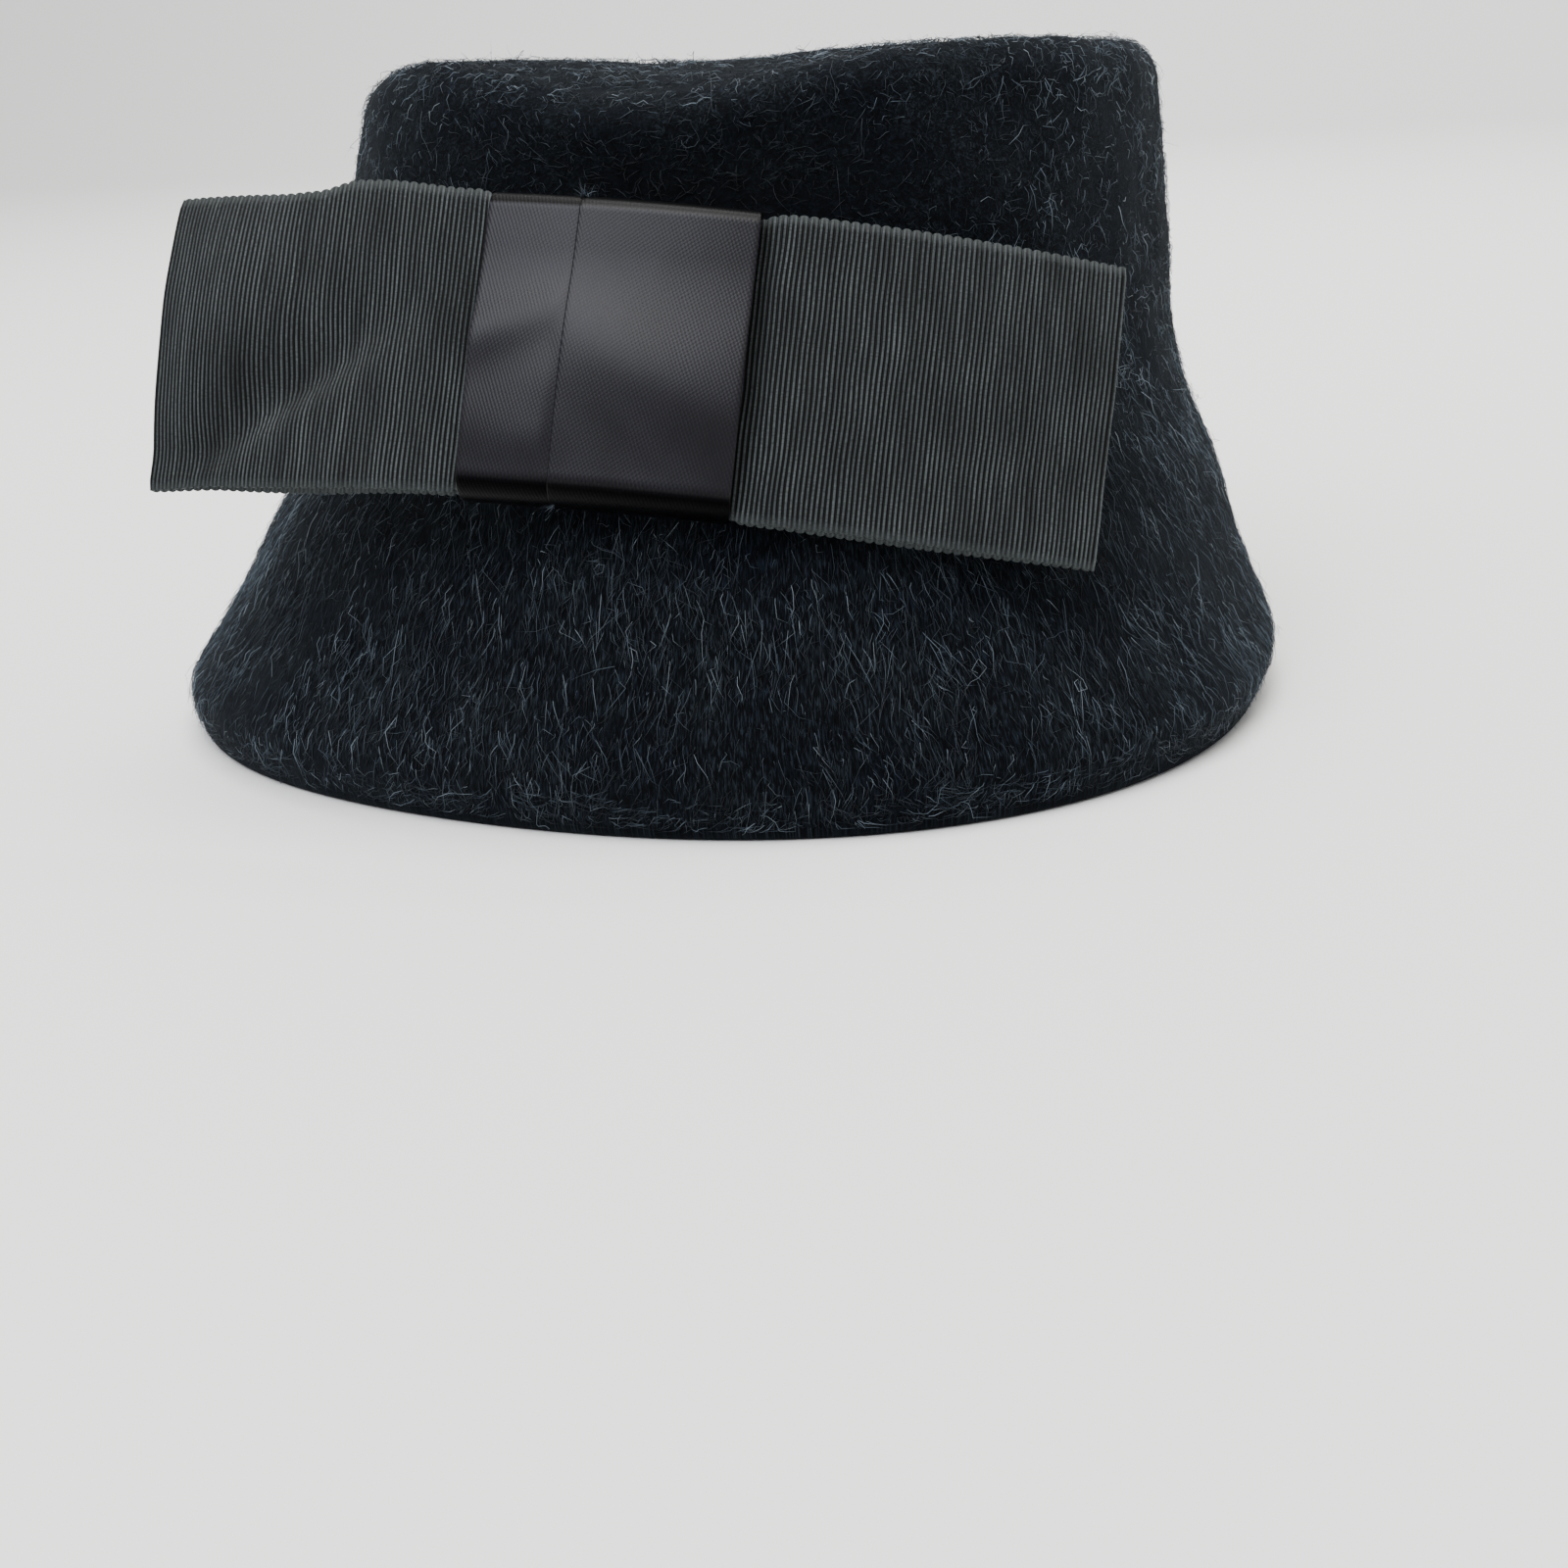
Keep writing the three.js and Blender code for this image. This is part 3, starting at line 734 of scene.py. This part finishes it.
def growNap(kind):
    # Fibres walk over the felt from their roots: mostly down the brim, every way and curled on the crown.
    shape, random = napShape, np.random.default_rng(kind["seed"])
    wanted = kind["count"] * shape["tries"]
    low, high = kind["low"], min(kind["high"], outerLength - shape["topRoom"])
    fadeLow, fadeHigh = kind["fade"]
    reachUp = random.uniform(low, high, wanted)
    angle = random.uniform(0, 2 * math.pi, wanted)
    perTurn = feltFrame(reachUp, angle)[2]
    dense = perTurn * smoothStep(reachUp, low, low + fadeLow) * smoothStep(-reachUp, -high, fadeHigh - high)
    kept = np.flatnonzero(random.uniform(0, dense.max(), wanted) < dense)[:kind["count"]]
    reachUp, angle = reachUp[kept], angle[kept]
    root = feltOuter(reachUp, angle)
    count = len(kept)
    length = random.uniform(*kind["length"], count) * random.uniform(0.6, 1, count)
    clump = sum(strength * lumps(root, wavelength, kind["seed"] + more)
                for strength, wavelength, more in shape["clumps"])
    heading = kind["heading"] * np.where(lumps(root, shape["swirl"], shape["swirlSeed"]) > 0, 1, -1)
    heading = heading + clump * kind["stray"] * 0.55
    heading += random.normal(0, kind["stray"] * 0.6, count)
    curl = random.normal(0, kind["curl"], count)
    lift = random.uniform(*kind["lift"], count)
    standing = random.uniform(0, 1, count) < shape["standing"]
    tip = np.where(standing, random.uniform(*shape["standingTip"], count),
                   random.uniform(*shape["lyingTip"], count))
    steps = kind["steps"]
    points, normals = [], []
    for k in range(steps + 1):
        share = k / steps
        if k:
            turned = np.radians(heading + curl * (share - 0.5) + curl * 0.4 * np.sin(5 * share + curl))
            perTurn = np.maximum(feltFrame(reachUp, angle)[2], 8)
            reachUp = np.clip(reachUp - np.cos(turned) * length / steps, 0, outerLength - 2.5)
            angle = angle + np.sin(turned) * length / steps / perTurn
        point, normal, _ = feltFrame(reachUp, angle)
        arch = np.sin(math.pi * min(share, 0.5)) * (1 if share < 0.5 else 0.5)
        raised = lift * (arch + max(0, share - 0.5) * tip * 2) - shape["lyingDown"]
        if k == 0:
            raised = np.full(count, -shape["rootSunk"])
        point = point + normal * raised[:, None] + shift
        point[:, 2] = np.maximum(point[:, 2], shape["floorRoom"])
        points.append(point)
        normals.append(normal)
    paths, normals = (np.stack(parts, axis=1) for parts in (points, normals))
    shades = np.clip(random.beta(1.5, 2.9, count) + kind["pale"] + 0.1 * clump, 0, 1)
    # Painted shade: fibres in the front dent are darkened.
    shades *= 1 - shape["dentPaintedShade"] * dentShadeShare(reachUp, angle)
    radii = kind["radius"] * random.uniform(0.7, 1.25, count)
    return strandMesh(kind["name"], paths, normals, radii, shades)


def pleatThreads():
    # A few cut threads stand out where the pleat runs over the wrap's upper and lower edges.
    shape = threadShape
    random = np.random.default_rng(shape["seed"])
    count, steps = shape["count"], shape["steps"]
    end = np.where(np.arange(count) % 2 == 0, 1, -1)
    root = np.column_stack([satin["pleatAt"] + random.normal(0.3, 0.45, count), end * satin["top"],
                            np.where(end > 0, shape["topZ"], shape["bottomZ"]) + random.normal(0, 0.35, count)])
    away = np.column_stack([random.normal(0, 0.5, count), end * random.uniform(*shape["away"], count),
                            random.uniform(*shape["out"], count)])
    length = random.uniform(*shape["length"], count)[:, None, None]
    share = np.linspace(0, 1, steps + 1)[None, :, None]
    bend = random.normal(0, shape["bend"], (count, 1, 3)) * share ** 2
    paths = root[:, None] + away[:, None] * length * share + bend
    placed = bowToHat(paths.reshape(-1, 3)).reshape(paths.shape)
    outward = np.broadcast_to(np.array([0.2, -0.9, 0.35]), placed.shape)
    return strandMesh("pleat_threads", placed, outward, np.full(count, shape["radius"]),
                      random.uniform(*shape["shade"], count))


naps = [growNap(kind) for kind in napKinds]
threads = pleatThreads()
print("nap:", [len(n.data.polygons) for n in naps], "faces")


# Materials

def attribute(tree, name):
    return addNode(tree, "ShaderNodeAttribute", {"attribute_name": name})


def scaledBy(tree, vector, scale):
    return addNode(tree, "ShaderNodeMapping", {"Scale": scale}, {"Vector": vector})


def ramp(tree, factor, stops):
    node = addNode(tree, "ShaderNodeValToRGB", links={"Fac": factor})
    elements = node.color_ramp.elements
    while len(elements) < len(stops):
        elements.new(0.5)
    for element, (place, colour) in zip(elements, stops):
        element.position = place
        element.color = linearColour(colour)
    return node


def mixColour(tree, factor, first, second, blend="MIX"):
    node = addNode(tree, "ShaderNodeMix", {"data_type": "RGBA", "blend_type": blend})
    for index, value in ((0, factor), (6, first), (7, second)):
        if isinstance(value, (float, int, tuple)):
            node.inputs[index].default_value = value
        else:
            tree.links.new(value, node.inputs[index])
    return node.outputs[2]


def mixValue(tree, operation, first, second):
    node = addNode(tree, "ShaderNodeMath", {"operation": operation})
    for index, value in enumerate((first, second)):
        if isinstance(value, (float, int)):
            node.inputs[index].default_value = value
        else:
            tree.links.new(value, node.inputs[index])
    return node.outputs[0]


def feltMaterial():
    # Pressed and brushed: no gloss, a soft pale sheen at a slant, fine fibres that run down the brim.
    material, tree = newMaterial("Mohair felt, pressed and brushed")
    weave = addNode(tree, "ShaderNodeUVMap", {"uv_map": "weave"}).outputs["UV"]
    place = addNode(tree, "ShaderNodeTexCoord").outputs["Object"]
    crown = attribute(tree, "crown").outputs["Fac"]
    # fibres 0.35 mm by 2.5 mm down the brim; curled tufts of 0.8 mm on the crown
    fibres = addNode(tree, "ShaderNodeTexNoise", {
        "Scale": 1.0, "Detail": 4.0, "Roughness": 0.65, "Distortion": 0.6},
        {"Vector": scaledBy(tree, weave, (2900, 400, 1)).outputs[0]})
    tufts = addNode(tree, "ShaderNodeTexNoise", {
        "Scale": 1250.0, "Detail": 4.0, "Roughness": 0.7, "Distortion": 1.4}, {"Vector": place})
    cloudy = addNode(tree, "ShaderNodeTexNoise", {
        "Scale": 70.0, "Detail": 3.0, "Roughness": 0.5}, {"Vector": place})
    nap = mixColour(tree, crown, fibres.outputs["Fac"], tufts.outputs["Fac"])
    shade = ramp(tree, nap, [(0.35, "#010102"), (0.5, "#05070A"), (0.64, "#20272D")])
    broad = ramp(tree, cloudy.outputs["Fac"], [(0.35, "#AEB6CC"), (0.65, "#FFFFFF")])
    colour = mixColour(tree, 1.0, shade.outputs["Color"], broad.outputs["Color"], "MULTIPLY")
    # Painted shade: the felt is darkened towards near black in the front dent.
    pressed = mixValue(tree, "MULTIPLY", attribute(tree, "pressed").outputs["Fac"], 0.75)
    colour = mixColour(tree, pressed, colour, linearColour("#030406"))
    bump = addNode(tree, "ShaderNodeBump", {"Strength": 0.55, "Distance": 0.0005}, {"Height": nap})
    surface = addNode(tree, "ShaderNodeBsdfPrincipled", {
        "Roughness": 0.95, "IOR": 1.15, "Sheen Weight": 0.06, "Sheen Roughness": 0.5,
        "Sheen Tint": linearColour("#8A97A3")}, {"Base Color": colour, "Normal": bump.outputs[0]})
    finishMaterial(tree, surface)
    return material


def napMaterial():
    # Single mohair fibres: most as dark as the felt, some paler and greyer where they catch the light.
    material, tree = newMaterial("Mohair fibre, combed")
    colour = ramp(tree, attribute(tree, "shade").outputs["Fac"], [
        (0.0, "#07090C"), (0.3, "#1F2730"), (0.6, "#47535D"), (1.0, "#88949E")])
    surface = addNode(tree, "ShaderNodeBsdfPrincipled", {
        "Roughness": 0.55, "IOR": 1.35}, {"Base Color": colour.outputs["Color"]})
    finishMaterial(tree, surface)
    return material


def grosgrainMaterial():
    # Rib weave: a painted highlight on each cord, painted shade near black between the cords, and a paler woven
    # edge.
    material, tree = newMaterial("Grosgrain ribbon, rayon rib weave")
    weave = addNode(tree, "ShaderNodeUVMap", {"uv_map": "weave"}).outputs["UV"]
    # warp threads of 0.3 mm across each cord, drawn a little coarser than the real 0.2 mm
    threads = addNode(tree, "ShaderNodeTexNoise", {"Scale": 1.0, "Detail": 2.0, "Roughness": 0.5},
                      {"Vector": scaledBy(tree, weave, (900, 3300, 1)).outputs[0]})
    uneven = addNode(tree, "ShaderNodeTexNoise", {"Scale": 1.0, "Detail": 3.0, "Roughness": 0.6},
                     {"Vector": scaledBy(tree, weave, (260, 55, 1)).outputs[0]})
    # Painted shade and highlight: the rib value darkens the valleys to near black and lightens the crests.
    cord = ramp(tree, attribute(tree, "rib").outputs["Fac"], [
        (0.0, "#010101"), (0.68, "#020202"), (0.9, "#272C2D"), (1.0, "#575E60")])
    flecks = ramp(tree, threads.outputs["Fac"], [(0.3, "#A8AAAA"), (0.7, "#FFFFFF")])
    colour = mixColour(tree, 1.0, cord.outputs["Color"], flecks.outputs["Color"], "MULTIPLY")
    tones = ramp(tree, attribute(tree, "tone").outputs["Fac"], [(0.0, "#8E9090"), (1.0, "#FFFFFF")])
    colour = mixColour(tree, 1.0, colour, tones.outputs["Color"], "MULTIPLY")
    worn = ramp(tree, uneven.outputs["Fac"], [(0.35, "#C2C4C6"), (0.68, "#FFFFFF")])
    colour = mixColour(tree, 1.0, colour, worn.outputs["Color"], "MULTIPLY")
    edge = mixValue(tree, "MULTIPLY", attribute(tree, "selvedge").outputs["Fac"], 0.55)
    colour = mixColour(tree, edge, colour, linearColour("#373C3D"))
    bump = addNode(tree, "ShaderNodeBump", {"Strength": 0.5, "Distance": 0.00012},
                   {"Height": threads.outputs["Fac"]})
    surface = addNode(tree, "ShaderNodeBsdfPrincipled", {
        "Roughness": 0.55, "IOR": 1.22, "Sheen Weight": 0.02, "Sheen Roughness": 0.4},
        {"Base Color": colour, "Normal": bump.outputs[0]})
    finishMaterial(tree, surface)
    return material


def satinMaterial():
    # Satin: a smooth soft gloss with a plum tint, the fine slanting lines of its weave, and painted shade where
    # it turns over its upper and lower edges.
    material, tree = newMaterial("Satin, acetate, soft gloss")
    weave = addNode(tree, "ShaderNodeUVMap", {"uv_map": "weave"}).outputs["UV"]
    # two crossing sets of slanting lines 0.6 mm apart, drawn coarser than the real 0.3 mm; one set is stronger
    sets = []
    for slant, uneven in ((23, 1.2), (-50, 2.0)):
        turn = addNode(tree, "ShaderNodeMapping", {"Rotation": (0, 0, math.radians(slant))}, {"Vector": weave})
        sets.append(addNode(tree, "ShaderNodeTexWave", {
            "Scale": 524.0, "Distortion": uneven, "Detail": 2.0, "Detail Scale": 0.8},
            {"Vector": turn.outputs[0]}))
    twill = mixValue(tree, "MULTIPLY", sets[1].outputs["Fac"], 0.5)
    twill = mixValue(tree, "ADD", sets[0].outputs["Fac"], twill)
    twill = mixValue(tree, "MULTIPLY", twill, 0.667)
    cloudy = addNode(tree, "ShaderNodeTexNoise", {"Scale": 1.0, "Detail": 2.0, "Roughness": 0.5},
                     {"Vector": scaledBy(tree, weave, (90, 60, 1)).outputs[0]})
    lines = ramp(tree, twill, [(0.15, "#07070A"), (0.85, "#17161E")])
    soft = ramp(tree, cloudy.outputs["Fac"], [(0.35, "#C4C2C8"), (0.65, "#FFFFFF")])
    colour = mixColour(tree, 1.0, lines.outputs["Color"], soft.outputs["Color"], "MULTIPLY")
    # Painted shade: where the cloth turns over its edges it is darkened to near black and its reflection is
    # dimmed.
    turned = attribute(tree, "turned").outputs["Fac"]
    colour = mixColour(tree, turned, colour, linearColour("#020203"))
    gloss = ramp(tree, turned, [(0.0, "#FFFFFF"), (1.0, "#1A1A1C")])
    bump = addNode(tree, "ShaderNodeBump", {"Strength": 0.3, "Distance": 0.00008}, {"Height": twill})
    surface = addNode(tree, "ShaderNodeBsdfPrincipled", {
        "Roughness": 0.36, "IOR": 1.31},
        {"Base Color": colour, "Normal": bump.outputs[0], "Specular Tint": gloss.outputs["Color"]})
    finishMaterial(tree, surface)
    return material


feltBody.data.materials.append(feltMaterial())
bowRibbon.data.materials.append(grosgrainMaterial())
satinWrap.data.materials.append(satinMaterial())
fibre = napMaterial()
for nap in naps + [threads]:
    nap.data.materials.append(fibre)

for piece, node, slot in ((feltBody, "felt_body", "mohair_felt"), (bowRibbon, "bow_ribbon", "grosgrain"),
                          (satinWrap, "satin_wrap", "satin")):
    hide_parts(node)
    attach(piece, "root")
for nap in naps:
    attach(nap, "root")
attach(threads, "root")
